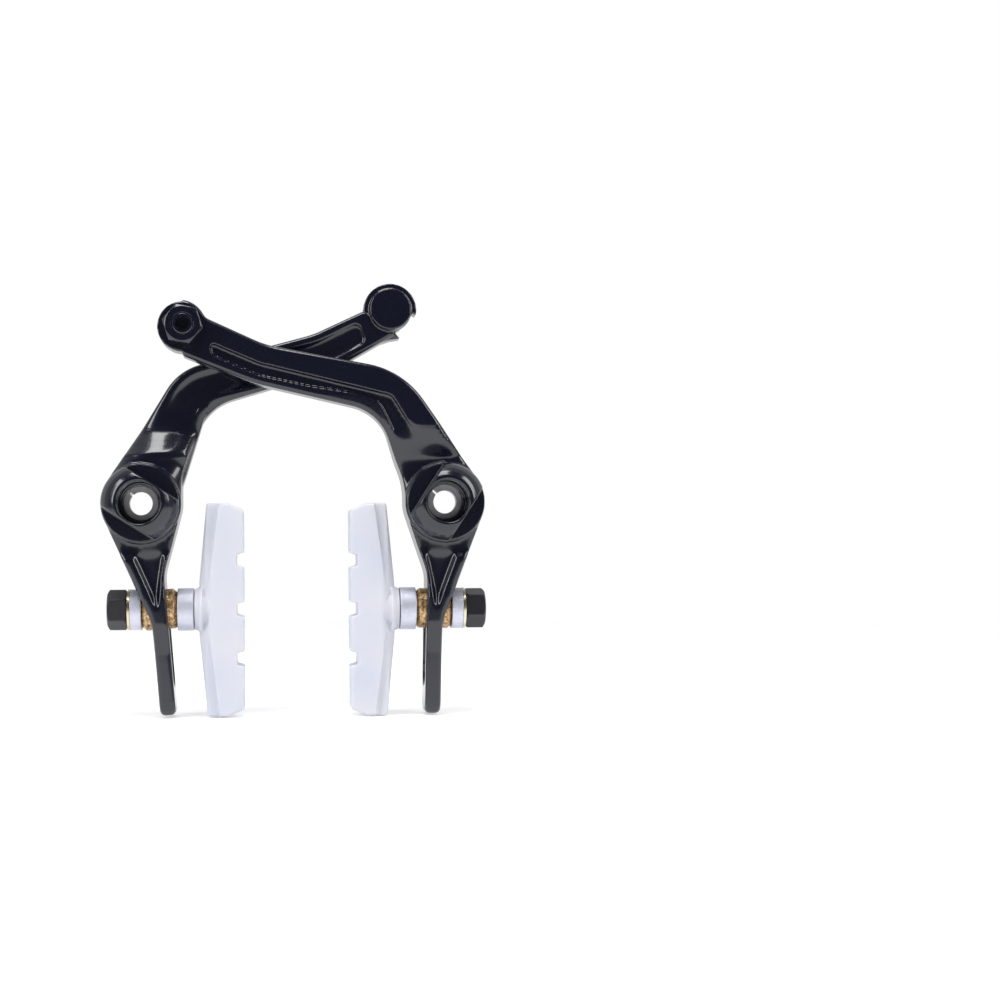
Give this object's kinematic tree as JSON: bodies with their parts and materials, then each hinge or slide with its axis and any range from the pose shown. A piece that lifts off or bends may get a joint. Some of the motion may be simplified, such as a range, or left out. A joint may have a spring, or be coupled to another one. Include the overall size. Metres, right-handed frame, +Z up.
{
  "type": "u brake",
  "caption": "Bicycle U-brake with crossing black arms on frame studs, a cable anchor and hook at their ends, and white shoes on swivelling washers.",
  "frame": {"origin": "midway between the two pivots, in the plane of the frame's bosses", "axes": "+X to the right seen from the front, +Z up, -Y to the front, along the studs"},
  "size_m": [0.1083, 0.0243, 0.1229],
  "materials": {
    "arm": "gloss black paint over a forged arm",
    "sleeve": "gloss black",
    "nut": "matt black",
    "cap": "matt black",
    "bearing": "satin natural",
    "steel": "satin grey",
    "cup": "satin silver",
    "dome": "rough gold",
    "washer": "pale yellow zinc",
    "shoe": "translucent bluish white"
  },
  "bodies": {
    "frame_side": {"left_split_bush": "steel", "right_split_bush": "steel"},
    "left_tensioner": {"left_tension_sleeve": "sleeve", "left_spring_cap": "cap"},
    "left_brake_arm": {"left_arm": "arm", "left_bearing_bush": "bearing", "left_return_spring": "steel", "left_upper_arm": "arm"},
    "left_slider": {"left_inner_dome": "dome", "left_outer_dome": "dome"},
    "left_swivel": {"left_inner_cup": "cup", "left_outer_cup": "cup", "left_flat_washer": "washer", "left_shoe_nut": "nut"},
    "left_brake_shoe": {"left_shoe": "shoe", "left_shoe_post": "steel"},
    "right_tensioner": {"right_tension_sleeve": "sleeve", "right_spring_cap": "cap"},
    "right_brake_arm": {"right_arm": "arm", "right_bearing_bush": "bearing", "right_return_spring": "steel", "anchor_bolt": "nut", "anchor_washer": "nut", "anchor_nut": "nut"},
    "right_slider": {"right_inner_dome": "dome", "right_outer_dome": "dome"},
    "right_swivel": {"right_inner_cup": "cup", "right_outer_cup": "cup", "right_flat_washer": "washer", "right_shoe_nut": "nut"},
    "right_brake_shoe": {"right_shoe": "shoe", "right_shoe_post": "steel"}
  },
  "joints": [
    {"name": "left_tension_turn", "type": "hinge", "parent": "frame_side", "child": "left_tensioner", "pos_m": [-0.04275, 0, 0], "axis": [0, -1, 0], "range_deg": [-30, 30]},
    {"name": "left_arm_swing", "type": "hinge", "parent": "frame_side", "child": "left_brake_arm", "pos_m": [-0.04275, 0, 0], "axis": [0, -1, 0], "range_deg": [-12, 9], "stiffness_Nm_per_rad": 2, "deforming": ["left_return_spring"]},
    {"name": "left_shoe_slide", "type": "slide", "parent": "left_brake_arm", "child": "left_slider", "axis": [-0.0802, 0, 0.9968], "range_m": [-0.0185, 0.001]},
    {"name": "left_toe_in", "type": "hinge", "parent": "left_slider", "child": "left_swivel", "pos_m": [-0.03794, -0.0091, -0.02991], "axis": [0, 0, 1], "range_deg": [-4, 4]},
    {"name": "left_shoe_turn", "type": "hinge", "parent": "left_swivel", "child": "left_brake_shoe", "pos_m": [-0.03794, -0.0091, -0.02991], "axis": [1, 0, 0], "range_deg": [-90, 90]},
    {"name": "right_tension_turn", "type": "hinge", "parent": "frame_side", "child": "right_tensioner", "pos_m": [0.04275, 0, 0], "axis": [0, -1, 0], "range_deg": [-30, 30]},
    {"name": "right_arm_swing", "type": "hinge", "parent": "frame_side", "child": "right_brake_arm", "pos_m": [0.04275, 0, 0], "axis": [0, 1, 0], "range_deg": [-12, 9], "stiffness_Nm_per_rad": 2, "deforming": ["right_return_spring"]},
    {"name": "right_shoe_slide", "type": "slide", "parent": "right_brake_arm", "child": "right_slider", "axis": [0.0244, 0, 0.9997], "range_m": [-0.0185, 0.001]},
    {"name": "right_toe_in", "type": "hinge", "parent": "right_slider", "child": "right_swivel", "pos_m": [0.03961, -0.0091, -0.03013], "axis": [0, 0, 1], "range_deg": [-4, 4]},
    {"name": "right_shoe_turn", "type": "hinge", "parent": "right_swivel", "child": "right_brake_shoe", "pos_m": [0.03961, -0.0091, -0.03013], "axis": [1, 0, 0], "range_deg": [-90, 90]}
  ]
}
